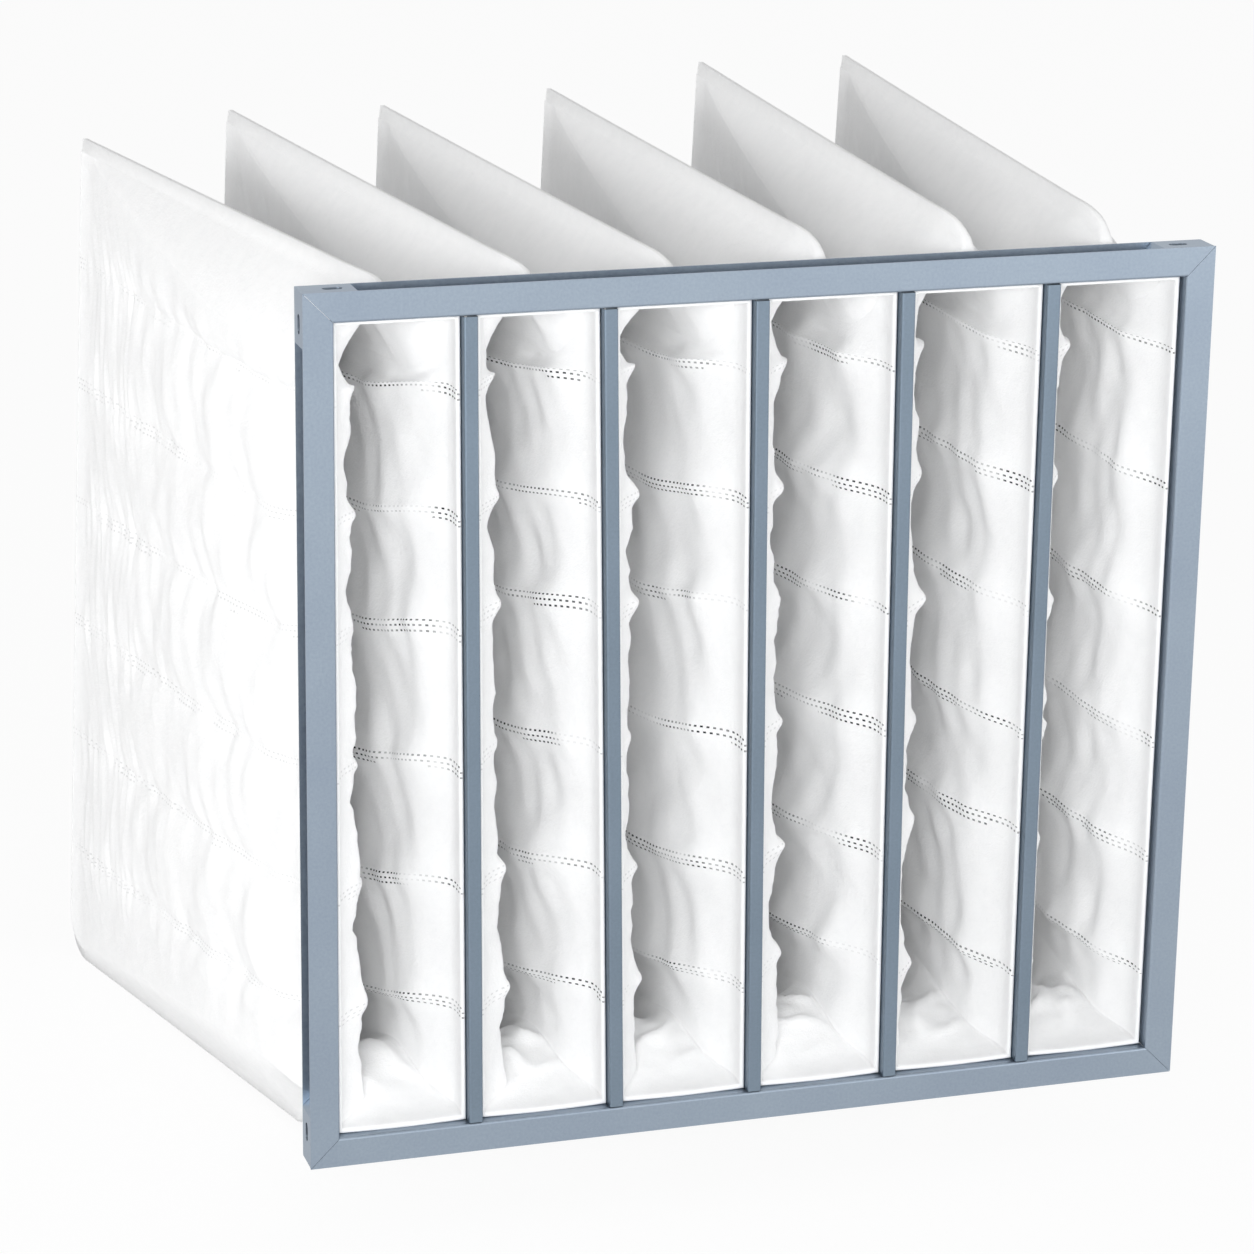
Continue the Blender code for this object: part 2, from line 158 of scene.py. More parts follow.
# Seeded waves: seed offset, number of waves, wavelength, stretch, height
WAVE_SPREAD = (0.7, 1.5)
RAGGED = ((3, 6, 0.060, 1.0, 0.0024), (5, 9, 0.026, 1.0, 0.0009), (6, 9, 0.012, 1.0, 0.0005))
GATHER = (7, 7, 0.013, 7.0, 0.0013)
CREASE = (27, 8, 0.034, 1.3, 0.0009)
DRIFT = (17, 6, 0.090, 1.2, 0.0016)
FOLDS = (31, 6, 0.050, 1.0, 1.0)
FINE_FOLDS = (41, 8, 0.018, 1.0, 1.0)
# Gathers run slanted across a panel, strongest near the rows and over the rear half
GATHER_SLANT = 0.22
GATHER_BOW = 0.010
GATHER_START = 0.30
GATHER_LENGTH = 0.45
GATHER_CALM_AT = 0.93
GATHER_CALM_LENGTH = 0.07
GATHER_CALM_SHARE = 0.5
GATHER_SHARE = 0.30
GATHER_POWER = 0.6
SOFT_POWER = 3
# The last bag's right hem has slipped this far off the stile
LOOSE_HEM = 0.0012

# Rings of the skin: stretches of depth as (from, to, number of rings)
INNER_RINGS = ((0.536, 0.300, 14), (0.300, 0.130, 24), (0.130, HEM_FRONT + HEM_RADIUS, 40))
OUTER_RINGS = (
    (HEM_FRONT + HEM_RADIUS, 0.060, 10),
    (0.060, 0.400, 58),
    (0.400, 0.540, 40),
    (0.540, POCKET_DEPTH, 5),
)
PANEL_STEPS = 24
ROW_CROWDING = 0.62
ROOF_STEPS = 18

# Rows of needle holes, their dark painted in as shade
HOLE_LINE = 0.0018
HOLE_THIRD_LINE = 0.0054
HOLE_HALF = 0.0006
HOLE_PITCH = 0.0052
HOLE_SHARE = 0.45
# Share of the holes' painted shade kept on the other faces
HOLE_SHADE_ELSEWHERE = 0.2

# Noise scales, in turns per metre
WANDER_SCALE = 9.0
FADE_SCALE = 18.0
MOTTLE_SCALE = 75.0
FIBRE_SCALE = 420.0
SPECK_SCALE = 520.0
CLOUD_SCALE = 14.0
SPECK_SHARE = 0.6
CLOUD_SHARE = 0.4

# Colours
WADDING_LIGHT = "#FFFFFF"
WADDING_DARK = "#F1F2F3"
# Painted shade inside the needle holes, near black
NEEDLE_HOLE_SHADE = "#2A2C30"
HEADER_LIGHT = "#99A5B1"
HEADER_DARK = "#8C98A7"
BARS_LIGHT = "#7F8D9B"
BARS_DARK = "#74828F"
PAPER = "#F2F2F2"
WHITE = "#FFFFFF"

# Light: name, direction from the filter, distance, size, power in watts
LAMPS = (
    ("front", (-0.42, -0.87, 0.27), 3.4, 1.4, 72.0),
    ("side_left", (-0.98, 0.05, 0.20), 3.2, 1.0, 16.0),
    ("fill_right", (0.60, -0.80, 0.25), 3.2, 1.0, 22.0),
)
WORLD_LEVEL = 0.50
FLOOR_SIZE = 12.0
FLOOR_GAP = 0.0005
FLOOR_WHITE = 0.93

# Camera, worked out from the header's corners in the photo, relative to the header's front
CAMERA_PLACE = (-0.86649, -2.45205, 0.85005)
CAMERA_YAW = 0.30451
CAMERA_PITCH = 0.29705
CAMERA_ROLL = 0.01399
CAMERA_LENS = 118.45
SENSOR = 36.0


def header_box():
    """Lowest and highest corner of the four header rails together."""
    rails = [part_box(f"header_{side}") for side in ("top", "right", "bottom", "left")]
    low = np.min([np.array(pair[0]) for pair in rails], axis=0)
    high = np.max([np.array(pair[1]) for pair in rails], axis=0)
    return low, high


LOW, HIGH = header_box()
CENTRE = np.array([(LOW[0] + HIGH[0]) / 2, LOW[1], (LOW[2] + HIGH[2]) / 2])
OPENING_WIDTH = HIGH[0] - LOW[0] - 2 * FACE_WIDTH
OPENING_HEIGHT = HIGH[2] - LOW[2] - 2 * FACE_WIDTH
CELL_WIDTH = (OPENING_WIDTH - (POCKETS - 1) * BAR_WIDTH) / POCKETS
CELL_PITCH = CELL_WIDTH + BAR_WIDTH
MOUTH_HALF = OPENING_HEIGHT / 2 - FIT


def ease(value):
    """Smooth step from 0 to 1."""
    value = np.clip(value, 0.0, 1.0)
    return value * value * (3 - 2 * value)


def bump_curve(value, centre, width):
    """A smooth hump of height 1 about centre."""
    return np.exp(-((value - centre) / width) ** 2)


def cell_side(number, side, z):
    """Sideways place of a cell's left (-1) or right (+1) wall at a height."""
    if number == 1 and side < 0:
        return np.full_like(z, -OPENING_WIDTH / 2)
    if number == POCKETS and side > 0:
        return np.full_like(z, OPENING_WIDTH / 2)
    bar = number if side > 0 else number - 1
    bottom = (bar - POCKETS / 2) * CELL_PITCH
    share = z / OPENING_HEIGHT + 0.5
    return bottom + BAR_TOP_DRIFT[bar - 1] * share - side * BAR_WIDTH / 2


class Waves:
    """Seeded sum of slanted sine waves over two coordinates, about -1 to 1."""

    def __init__(self, seed, count, wavelength, stretch=1.0):
        rng = np.random.default_rng(seed)
        angle = rng.uniform(0, 2 * math.pi, count)
        size = 2 * math.pi / (wavelength * rng.uniform(*WAVE_SPREAD, count))
        self.a = np.cos(angle) * size
        self.b = np.sin(angle) * size / stretch
        self.phase = rng.uniform(0, 2 * math.pi, count)

    def __call__(self, u, v):
        total = 0.0
        for a, b, phase in zip(self.a, self.b, self.phase):
            total = total + np.sin(a * u + b * v + phase)
        return total / math.sqrt(len(self.a))


def ripple(seed, spec, u, v):
    """Height of one seeded wave field over two coordinates."""
    offset, count, wavelength, stretch, height = spec
    return Waves(seed + offset, count, wavelength, stretch)(u, v) * height


def channel_grid():
    """Channel coordinate of the points up a panel, closer together at the rows."""
    parts = []
    for k in range(STITCH_ROWS + 1):
        t = np.arange(PANEL_STEPS) / PANEL_STEPS
        parts.append(k + t - ROW_CROWDING * np.sin(2 * math.pi * t) / (2 * math.pi))
    return np.append(np.concatenate(parts), STITCH_ROWS + 1.0)


def stretches(plan):
    """Depths along following stretches, none of them twice."""
    parts = [np.linspace(start, end, count)[:-1] for start, end, count in plan]
    return np.append(np.concatenate(parts), plan[-1][1])


def stations():
    """Depths of the bag's rings: (depth, share from outer face 0 to inner face 1)."""
    inner = stretches(INNER_RINGS)
    turn = np.linspace(0, math.pi, HEM_TURNS)[1:-1]
    hem_y = HEM_FRONT + HEM_RADIUS * (1 - np.sin(turn))
    hem_share = 0.5 + 0.5 * np.cos(turn)
    outer = stretches(OUTER_RINGS)
    y = np.concatenate([inner, hem_y, outer])
    share = np.concatenate([np.ones(len(inner)), hem_share, np.zeros(len(outer))])
    return y, share


def share_along(y):
    """How far depths y lie along the bag, 0 at the header's rear to 1 at the rear seam."""
    return np.clip((y - HEADER_DEPTH) / (POCKET_DEPTH - HEADER_DEPTH), 0, 1)


def row_heights(number, y):
    """Height of each stitch row, from the bottom up, at depths y."""
    along = share_along(y)
    mouth = np.array(MOUTH_ROWS[number - 1])[::-1]
    steps = np.arange(STITCH_ROWS) - (STITCH_ROWS - 1) / 2
    rear = REAR_LIFT[number - 1] + steps * REAR_ROW_PITCH
    near = NEAR_LIFT[number - 1] * (ease((y - HEADER_DEPTH) / (2 * RISE_LENGTH)) * (1 - along))
    return mouth[None, :] * (1 - along[:, None]) + rear[None, :] * along[:, None] + near[:, None]


def edges(number, y):
    """Heights of a bag's ridge and keel at depths y, and how far each has left the mouth."""
    along = share_along(y)
    half_rear = POCKET_REAR_HEIGHT / 2 - SEAM_WIDTH
    half_tall = half_rear - NEAR_LOSS / 2 * (1 - along)
    axis = NEAR_LIFT[number - 1] * (1 - along) + REAR_LIFT[number - 1] * along
    rise = 1 - (1 - np.clip((y - HEADER_DEPTH) / RISE_LENGTH, 0, 1)) ** RISE_POWER
    drop = np.clip((y - DROP_START) / DROP_LENGTH, 0, 1)
    drop = np.clip(ease(drop * DROP_SHARE + DROP_OFFSET) / DROP_SCALE - DROP_STEP, 0, 1)
    ridge = MOUTH_HALF + (axis + half_tall - MOUTH_HALF) * rise
    keel = -MOUTH_HALF + (axis - half_tall + MOUTH_HALF) * drop
    corner = np.clip((y - (POCKET_DEPTH - CORNER_ROUND)) / CORNER_ROUND, 0, 1)
    keel = keel + CORNER_ROUND * (1 - np.sqrt(np.clip(1 - corner ** 2, 0, 1)))
    return ridge, keel, rise, drop


def bag_points(number):
    """Rings of one bag's skin.

    Each ring runs up the left panel, over the roof, down the right panel and back along the
    floor. At a depth and height, a panel's sideways place is the bag's spine plus or minus half
    its width. The spine goes straight from the middle of the cell to the rear seam, which leans.
    The half width falls from the cell's half to nothing as one less the depth's share to a
    power; at a stitch row it falls faster, and between rows a rounded swell joins the two.
    Gathers, creases and the hanging hem are added as waves. The inner skin is the same surface
    set in by the wadding's thickness. Roof and floor slope from the panels' edges to the seam.
    """
    y, inner = stations()
    along = share_along(y)
    open_up = ease((y - HEADER_DEPTH) / OPEN_LENGTH)
    seed = 100 * number
    ridge, keel, rise, drop = edges(number, y)
    ridge = ridge - MEDIA * inner
    keel = keel + MEDIA * inner
    # The floor lies crumpled behind the bottom rail, higher than the keel's line
    hump = FLOOR_HUMP[number - 1] * bump_curve(y, FLOOR_AT, FLOOR_SPREAD) * inner

    rows = row_heights(number, y)
    gable = CELL_WIDTH / 2 * (1 - along ** GABLE_POWER) * GABLE_SLOPE
    gable = np.minimum(gable, GABLE_MAX)
    top = ridge - gable * rise
    bottom = keel + gable * drop + hump

    c = channel_grid()
    levels = np.column_stack([bottom, rows, top])
    base = np.clip(np.floor(c).astype(int), 0, STITCH_ROWS)
    frac = c - base
    z_panel = levels[:, base] * (1 - frac) + levels[:, base + 1] * frac

    # The stitches hold a flat band down, and the wadding swells on both sides of it
    off_row = np.abs(c - np.round(c))
    off_row = np.where((c < 0.5) | (c > STITCH_ROWS + 0.5), 0.5, off_row)
    swell = np.clip((off_row - BAND_HALF) / (0.5 - BAND_HALF), 0, 1)
    lobe = np.sin(math.pi / 2 * swell) ** LOBE_ROUNDNESS
    row_near = 1 - lobe
    # Nothing ripples where a panel meets the roof or the floor, so both edges hang straight
    calm = (ease(c / CALM_SHARE) * ease((STITCH_ROWS + 1 - c) / CALM_SHARE))[None, :]

    tip = REAR_LEAN + (number - (POCKETS + 1) / 2) * REAR_PITCH + REAR_DRIFT[number - 1]
    rear_top = POCKET_REAR_HEIGHT / 2 + REAR_LIFT[number - 1]

    def panel(side):
        """Sideways place of one panel, rings by points."""
        z = z_panel
        depth = y[:, None]
        wall = cell_side(number, side, z) - side * FIT
        centre = (cell_side(number, -1, z) + cell_side(number, 1, z)) / 2
        lean = tip + REAR_TILT * (rear_top - z) / POCKET_REAR_HEIGHT
        spine = centre + (lean - centre) * along[:, None]
        full = np.abs(wall - centre)
        if number == POCKETS and side > 0:
            full = full - LOOSE_HEM
        # Width that the channels and the rows keep, as a share of the mouth's half width
        close = ease((depth - CLOSE_START) / CLOSE_LENGTH)
        lobe_half = full * (1 - LOBE_CLOSE * close) * (1 - along[:, None] ** BELLY_POWER)
        lobe_half = lobe_half + SIDE_BULGE * bump_curve(depth, BULGE_AT, BULGE_SPREAD)
        row_half = full * (1 - ROW_CLOSE * close) * (1 - ROW_TAPER * along[:, None])
        if side < 0:
            # The left panel's hem hangs into the cell, more so low down, with a torn-looking edge
            lip = bump_curve(depth, LIP_AT, LIP_SPREAD)
            low = LIP_LOW[number - 1] * (0.5 - z / OPENING_HEIGHT)
            ragged = ripple(seed, RAGGED[0], z, 0 * z)
            ragged = ragged + ripple(seed, RAGGED[1], z, depth) + ripple(seed, RAGGED[2], z, depth)
            cusp = bump_curve(c, np.round(c), CUSP_REACH)[None, :] * CUSP_HEIGHT
            lobe_half = lobe_half - (LIP_LOBE + low + ragged) * lip
            row_half = row_half - (LIP_ROW + low + ragged + cusp) * lip
        # Thick wadding fills the grooves by half, least on the left inner side
        fill = OUTER_FILL + (INNER_FILL[side > 0] - OUTER_FILL) * inner[:, None]
        row_half = row_half + (lobe_half - row_half) * fill
        half = row_half + (lobe_half - row_half) * lobe[None, :]
        # Gathers run away from the rows, most of them near the rear seam
        bend = depth - GATHER_SLANT * z + GATHER_BOW * np.cos(math.pi * c)[None, :]
        gather = ripple(seed + side, GATHER, bend, z)
        strength = ease((along - GATHER_START) / GATHER_LENGTH)
        strength = strength * (
            1 - GATHER_CALM_SHARE * ease((along - GATHER_CALM_AT) / GATHER_CALM_LENGTH)
        )
        near = GATHER_SHARE + (1 - GATHER_SHARE) * row_near[None, :] ** GATHER_POWER
        strength = strength[:, None] * near
        crease = ripple(seed + side, CREASE, depth, z)
        drift = ripple(seed + side, DRIFT, depth, z)
        soft = (open_up * (1 - along ** SOFT_POWER))[:, None]
        half = half + (gather * strength + (crease + drift) * soft) * calm
        half = np.maximum(half, SEAM_HALF)
        stay = ease((depth - HEM_FRONT - HEM_STRAIGHT) / HEM_BLEND)
        half = half * stay + full * (1 - stay)
        half = np.maximum(half - MEDIA * inner[:, None], THIN_HALF)
        return spine + side * half

    left = panel(-1)
    right = panel(1)

    def cap(at_top):
        """The roof or the floor, from the left panel's edge to the right panel's."""
        q = np.linspace(-1, 1, ROOF_STEPS + 2)[1:-1][None, :]
        column = -1 if at_top else 0
        left_edge = left[:, column][:, None]
        right_edge = right[:, column][:, None]
        edge_z = (top if at_top else bottom)[:, None]
        tip_z = (ridge if at_top else keel + hump)[:, None]
        mid = (left_edge + right_edge) / 2
        half = (right_edge - left_edge) / 2
        shown = (rise if at_top else drop)[:, None]
        tight = np.maximum(SEAM_HALF - MEDIA * inner, TIGHT_HALF)[:, None]
        squeezed = np.where(
            np.abs(q) < SEAM_SHARE,
            np.clip(q / SEAM_SHARE, -1, 1) * np.minimum(tight, TIGHT_LIMIT * half),
            np.sign(q) * (tight + (half - tight) * (np.abs(q) - SEAM_SHARE) / (1 - SEAM_SHARE)),
        )
        x = mid + q * half * (1 - shown) + squeezed * shown
        slope = np.clip((1 - np.abs(q)) / (1 - SEAM_SHARE), 0, 1) ** ROOF_BEND
        z = edge_z + (tip_z - edge_z) * slope
        crest = np.where(np.abs(q) < SEAM_SHARE * CREST_REACH, SEAM_WIDTH, 0.0)
        crest = crest * shown * (1 - inner[:, None])
        z = z + (crest if at_top else -crest)
        # The bunched wadding folds inside: long soft folds with sharper crests
        folds = ripple(seed + at_top, FOLDS, y[:, None], x)
        folds = np.clip(1 - np.abs(folds) * FOLD_SHARPNESS, 0, 1)
        fine = ripple(seed + at_top, FINE_FOLDS, y[:, None], x)
        amount = (inner * open_up * bump_curve(y, FOLD_AT, FOLD_SPREAD))[:, None]
        amount = amount * (1 - np.abs(q) ** FOLD_POWER)
        inwards = -1 if at_top else 1
        height = FOLD_HEIGHT * folds + FINE_FOLD_HEIGHT * (fine + FINE_FOLD_LIFT)
        z = z + inwards * amount * height
        return x, z

    roof_x, roof_z = cap(True)
    floor_x, floor_z = cap(False)
    x = np.hstack([left, roof_x, right[:, ::-1], floor_x[:, ::-1]])
    z = np.hstack([z_panel, roof_z, z_panel[:, ::-1], floor_z[:, ::-1]])
    depth = np.repeat(y[:, None], x.shape[1], axis=1)
    points = np.stack([x, depth, z], axis=2) + CENTRE
    roof_spot = np.full(ROOF_STEPS, STITCH_ROWS + 1.5)
    floor_spot = np.full(ROOF_STEPS, -0.5)
    spots = np.concatenate([c, roof_spot, c[::-1], floor_spot])
    rows_at = np.repeat(spots[None, :], len(y), axis=0)
    pitch = (rows[:, -1] - rows[:, 0]) / (STITCH_ROWS - 1)
    pitch = np.repeat(pitch[:, None], x.shape[1], axis=1)
    # The needle holes' painted shade is full on the right-hand inner face
    shade_faces = np.zeros(x.shape[1])
    shade_faces[len(c) + ROOF_STEPS:2 * len(c) + ROOF_STEPS] = 1
    inside = inner[:, None] * shade_faces[None, :]
    return points, rows_at, pitch, inside


def make_mesh(name, vertices, faces):
    """A mesh object at the origin, faces pointing outwards, smooth."""
    mesh = bpy.data.meshes.new(name)
    mesh.from_pydata(vertices.tolist(), [], faces)
    mesh.update()
    piece = bpy.data.objects.new(name, mesh)
    bpy.context.scene.collection.objects.link(piece)
    mesh.polygons.foreach_set("use_smooth", np.ones(len(mesh.polygons), bool))
    return piece


def ring_faces(rings, count):
    """Quads between following rings of one closed loop each."""
    a = np.arange(rings - 1)[:, None] * count + np.arange(count)[None, :]
    b = np.arange(rings - 1)[:, None] * count + (np.arange(count) + 1)[None, :] % count
    return np.stack([a, b, b + count, a + count], axis=2).reshape(-1, 4)


def end_faces(first, count, flip):
    """Quads across one end ring, from its left panel to its right one."""
    panel = (count - 2 * ROOF_STEPS) // 2
    left = first + np.arange(panel)
    right = first + panel + ROOF_STEPS + np.arange(panel)[::-1]
    quads = np.stack([left[:-1], left[1:], right[1:], right[:-1]], axis=1)
    fans = []
    for start in (panel - 1, 2 * panel + ROOF_STEPS - 1):
        fans.append([first + (start + k) % count for k in range(ROOF_STEPS + 2)])
    faces = [list(map(int, quad)) for quad in quads] + [list(map(int, ring)) for ring in fans]
    if flip:
        faces = [face[::-1] for face in faces]
    return faces


def build_bag(number):
    """One bag as a closed skin, with its row coordinates as attributes."""
    points, rows_at, pitch, inside = bag_points(number)
    rings, count = points.shape[:2]
    faces = [list(map(int, f)) for f in ring_faces(rings, count)]
    faces += end_faces(0, count, False)
    faces += end_faces((rings - 1) * count, count, True)
    bag = make_mesh(f"bag_{number}", points.reshape(-1, 3), faces)
    mesh = bag.data
    for label, values in (("row_place", rows_at), ("row_pitch", pitch), ("hole_shade_face", inside)):
        attribute = mesh.attributes.new(label, "FLOAT", "POINT")
        attribute.data.foreach_set("value", values.reshape(-1).astype(np.float32))
    work = bmesh.new()
    work.from_mesh(mesh)
    volume = work.calc_volume(signed=True)
    if volume < 0:
        bmesh.ops.reverse_faces(work, faces=work.faces)
        work.to_mesh(mesh)
    work.free()
    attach(bag, "root")
    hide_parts(f"pocket_{number}", f"mouth_wire_{number}")
    return bag


def srgb(text):
    """Linear colour of an sRGB hex text."""
    values = [int(text[k:k + 2], 16) / 255 for k in (1, 3, 5)]
    linear = [v / 12.92 if v <= 0.04045 else ((v + 0.055) / 1.055) ** 2.4 for v in values]
    return tuple(linear) + (1.0,)


def node(tree, kind, inputs=None, **settings):
    """Add one shader node, set its settings, and set or link its inputs."""
    made = tree.nodes.new(kind)
    for key, value in settings.items():
        setattr(made, key, value)
    for key, value in (inputs or {}).items():
        if isinstance(value, bpy.types.NodeSocket):
            tree.links.new(value, made.inputs[key])
        else:
            made.inputs[key].default_value = value
    return made


def new_material(name):
    """An empty node material with its output."""
    material = bpy.data.materials.new(name)
    material.use_nodes = True
    tree = material.node_tree
    tree.nodes.clear()
    return material, tree, node(tree, "ShaderNodeOutputMaterial")


def math_node(tree, operation, a, b=0.0, c=0.0):
    """Value of one maths step."""
    return node(tree, "ShaderNodeMath", {0: a, 1: b, 2: c}, operation=operation).outputs[0]


def noise(tree, place, scale, detail, roughness=0.5):
    """Value of a noise texture, its scale in turns per metre."""
    inputs = {"Vector": place, "Scale": scale, "Detail": detail, "Roughness": roughness}
    return node(tree, "ShaderNodeTexNoise", inputs).outputs["Fac"]


def blend(tree, factor, first, second):
    """Colour between two colours."""
    inputs = {"Factor": factor, 6: first, 7: second}
    return node(tree, "ShaderNodeMix", inputs, data_type="RGBA").outputs[2]


def wadding_material():
    """White needled polyester wadding: matt and softly mottled, with rows of needle holes whose
    dark is painted shade.
    """
    material, tree, output = new_material("white polyester wadding")
    place = node(tree, "ShaderNodeTexCoord").outputs["Object"]
    axes = node(tree, "ShaderNodeSeparateXYZ", {"Vector": place})
    rows = node(tree, "ShaderNodeAttribute", attribute_name="row_place").outputs["Fac"]
    pitch = node(tree, "ShaderNodeAttribute", attribute_name="row_pitch").outputs["Fac"]
    nearest = math_node(tree, "ROUND", rows)
    off = math_node(tree, "MULTIPLY", math_node(tree, "SUBTRACT", rows, nearest), pitch)
    # Two lines of needle holes on each row, and in places a third line under them
    wander = noise(tree, place, WANDER_SCALE, 1.0)
    spread = math_node(tree, "SUBTRACT", math_node(tree, "ABSOLUTE", off), HOLE_LINE)
    pair = math_node(tree, "LESS_THAN", math_node(tree, "ABSOLUTE", spread), HOLE_HALF)
    below = math_node(tree, "ABSOLUTE", math_node(tree, "ADD", off, HOLE_THIRD_LINE))
    below = math_node(tree, "LESS_THAN", below, HOLE_HALF)
    third = math_node(tree, "MULTIPLY", below, math_node(tree, "GREATER_THAN", wander, 0.5))
    inside = math_node(tree, "MAXIMUM", pair, third)
    shift = math_node(tree, "MULTIPLY", math_node(tree, "GREATER_THAN", off, 0.0), HOLE_PITCH / 2)
    run = math_node(tree, "DIVIDE", math_node(tree, "ADD", axes.outputs["Y"], shift), HOLE_PITCH)
    dash = math_node(tree, "LESS_THAN", math_node(tree, "FRACT", run), HOLE_SHARE)
    low = math_node(tree, "GREATER_THAN", nearest, 0.5)
    high = math_node(tree, "LESS_THAN", nearest, STITCH_ROWS + 0.5)
    on_row = math_node(tree, "MULTIPLY", low, high)
    hole_shade_and_dip = math_node(tree, "MULTIPLY", math_node(tree, "MULTIPLY", inside, dash), on_row)
    fade = noise(tree, place, FADE_SCALE, 2.0)
    fade = node(tree, "ShaderNodeMapRange", {0: fade, 1: 0.38, 2: 0.58, 3: 0.12, 4: 1.0}).outputs[0]
    hole_shade_and_dip = math_node(tree, "MULTIPLY", hole_shade_and_dip, fade)
    # Elsewhere the holes' painted shade is kept faint
    face = node(tree, "ShaderNodeAttribute", attribute_name="hole_shade_face").outputs["Fac"]
    face = math_node(tree, "MULTIPLY_ADD", face, 1 - HOLE_SHADE_ELSEWHERE, HOLE_SHADE_ELSEWHERE)
    hole_shade_and_dip = math_node(tree, "MULTIPLY", hole_shade_and_dip, face)
    mottle = noise(tree, place, MOTTLE_SCALE, 6.0, 0.68)
    soft = blend(tree, mottle, srgb(WADDING_DARK), srgb(WADDING_LIGHT))
    # The needle holes' shade is painted in as a near-black colour over the mottled white
    colour = blend(tree, hole_shade_and_dip, soft, srgb(NEEDLE_HOLE_SHADE))
    fibre = noise(tree, place, FIBRE_SCALE, 6.0, 0.7)
    relief = math_node(tree, "ADD", fibre, math_node(tree, "MULTIPLY", mottle, 1.5))
    relief = math_node(tree, "SUBTRACT", relief, math_node(tree, "MULTIPLY", hole_shade_and_dip, 2.0))
    bump = node(tree, "ShaderNodeBump", {"Height": relief, "Strength": 0.5, "Distance": 0.0009})
    shader = node(tree, "ShaderNodeBsdfPrincipled", {
        "Base Color": colour,
        "Roughness": 0.95,
        "Specular IOR Level": 0.15,
        "Subsurface Weight": 0.55,
        "Subsurface Scale": 0.004,
        "Subsurface Radius": (1.0, 1.0, 1.0),
        "Normal": bump.outputs[0],
    })
    tree.links.new(shader.outputs[0], output.inputs["Surface"])
    return material


def steel_material(name, light, dark):
    """Galvanised sheet: satin blue-grey zinc with a fine speckle and faint clouds."""
    material, tree, output = new_material(name)
    place = node(tree, "ShaderNodeTexCoord").outputs["Object"]
    speck = noise(tree, place, SPECK_SCALE, 3.0, 0.6)
    cloud = math_node(tree, "MULTIPLY", noise(tree, place, CLOUD_SCALE, 3.0), CLOUD_SHARE)
    mix = math_node(tree, "ADD", math_node(tree, "MULTIPLY", speck, SPECK_SHARE), cloud)
    mix = node(tree, "ShaderNodeMapRange", {0: mix, 1: 0.3, 2: 0.7}).outputs[0]
    colour = blend(tree, mix, srgb(dark), srgb(light))
    rough = node(tree, "ShaderNodeMapRange", {0: speck, 3: 0.36, 4: 0.5}).outputs[0]
    bump = node(tree, "ShaderNodeBump", {"Height": speck, "Strength": 0.15, "Distance": 0.0002})
    shader = node(tree, "ShaderNodeBsdfPrincipled", {
        "Base Color": colour,
        "Metallic": 1.0,
        "Roughness": rough,
        "Normal": bump.outputs[0],
    })
    tree.links.new(shader.outputs[0], output.inputs["Surface"])
    return material


def seen_rays(tree):
    """1 for rays that show the background itself: camera, glossy and transmission rays."""
    path = node(tree, "ShaderNodeLightPath")
    seen = math_node(tree, "MAXIMUM", path.outputs["Is Camera Ray"], path.outputs["Is Glossy Ray"])
    return math_node(tree, "MAXIMUM", seen, path.outputs["Is Transmission Ray"])


def light_and_world():
    """White surroundings, a soft front light from the left, and weaker ones from both sides."""
    world = bpy.data.worlds.new("studio")
    bpy.context.scene.world = world
    world.use_nodes = True
    tree = world.node_tree
    tree.nodes.clear()
    output = node(tree, "ShaderNodeOutputWorld")
    seen = seen_rays(tree)
    plain = node(tree, "ShaderNodeBackground", {"Color": srgb(WHITE), "Strength": WORLD_LEVEL})
    white = node(tree, "ShaderNodeBackground", {"Color": srgb(WHITE), "Strength": 1.0})
    mix = node(tree, "ShaderNodeMixShader", {0: seen, 1: plain.outputs[0], 2: white.outputs[0]})
    tree.links.new(mix.outputs[0], output.inputs["Surface"])

    for name, direction, distance, size, power in LAMPS:
        data = bpy.data.lights.new(name, "AREA")
        data.shape = "DISK"
        data.size = size
        data.energy = power
        lamp = bpy.data.objects.new(name, data)
        way = Vector(direction).normalized()
        lamp.location = Vector(CENTRE) + way * distance
        lamp.rotation_euler = (-way).to_track_quat("-Z", "Y").to_euler()
        bpy.context.scene.collection.objects.link(lamp)


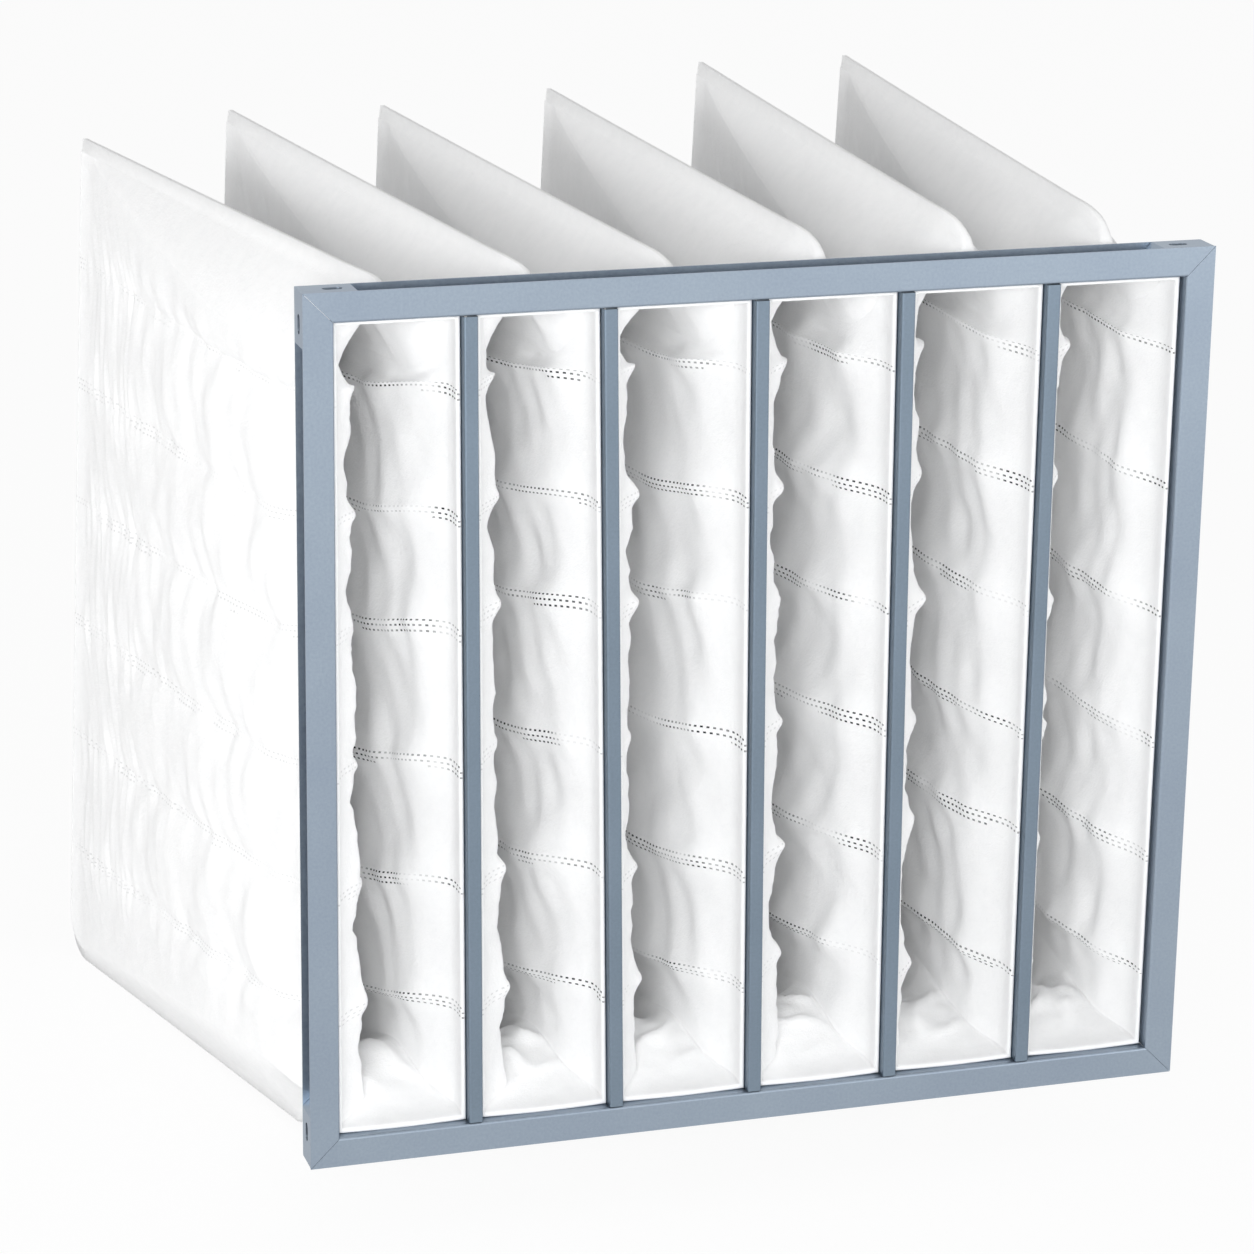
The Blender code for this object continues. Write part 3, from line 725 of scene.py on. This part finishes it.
def floor_and_camera():
    """A pale floor under the filter, and the photo's camera."""
    mesh = bpy.data.meshes.new("floor")
    level = float(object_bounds()[0][2]) - FLOOR_GAP
    signs = ((-1, -1), (1, -1), (1, 1), (-1, 1))
    corners = [(a * FLOOR_SIZE, b * FLOOR_SIZE, level) for a, b in signs]
    mesh.from_pydata(corners, [], [(0, 1, 2, 3)])
    floor = bpy.data.objects.new("floor", mesh)
    bpy.context.scene.collection.objects.link(floor)
    material, tree, output = new_material("white paper floor")
    paper = node(tree, "ShaderNodeBsdfDiffuse", {"Color": srgb(PAPER)})
    glow = node(tree, "ShaderNodeEmission", {"Color": srgb(WHITE), "Strength": 1.0})
    seen = math_node(tree, "MULTIPLY", seen_rays(tree), FLOOR_WHITE)
    mix = node(tree, "ShaderNodeMixShader", {0: seen, 1: paper.outputs[0], 2: glow.outputs[0]})
    tree.links.new(mix.outputs[0], output.inputs["Surface"])
    mesh.materials.append(material)

    data = bpy.data.cameras.new("camera")
    data.sensor_width = SENSOR
    data.lens = CAMERA_LENS
    data.clip_end = 50
    camera = bpy.data.objects.new("camera", data)
    forward = Vector((
        math.sin(CAMERA_YAW) * math.cos(CAMERA_PITCH),
        math.cos(CAMERA_YAW) * math.cos(CAMERA_PITCH),
        -math.sin(CAMERA_PITCH),
    ))
    right = Vector((math.cos(CAMERA_YAW), -math.sin(CAMERA_YAW), 0))
    up = right.cross(forward)
    turned = math.cos(CAMERA_ROLL) * right + math.sin(CAMERA_ROLL) * up
    level_up = -math.sin(CAMERA_ROLL) * right + math.cos(CAMERA_ROLL) * up
    turn = Matrix((turned, level_up, -forward)).transposed().to_4x4()
    camera.matrix_world = Matrix.Translation(Vector(CENTRE) + Vector(CAMERA_PLACE)) @ turn
    bpy.context.scene.collection.objects.link(camera)
    bpy.context.scene.camera = camera


def paint(material, names):
    """Put one material on CAD nodes."""
    for name in names:
        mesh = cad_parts[name].data
        mesh.materials.clear()
        mesh.materials.append(material)


def main():
    """Build the look."""
    wadding = wadding_material()
    face = steel_material("galvanised steel", HEADER_LIGHT, HEADER_DARK)
    bars = steel_material("galvanised steel bars", BARS_LIGHT, BARS_DARK)
    paint(face, [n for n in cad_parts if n.startswith(("header_", "corner_key_"))])
    paint(bars, [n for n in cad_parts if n.startswith("divider_bar_")])
    for number in range(1, POCKETS + 1):
        bag = build_bag(number)
        bag.data.materials.append(wadding)
    light_and_world()
    floor_and_camera()
    bpy.context.scene.view_settings.view_transform = "Standard"


main()
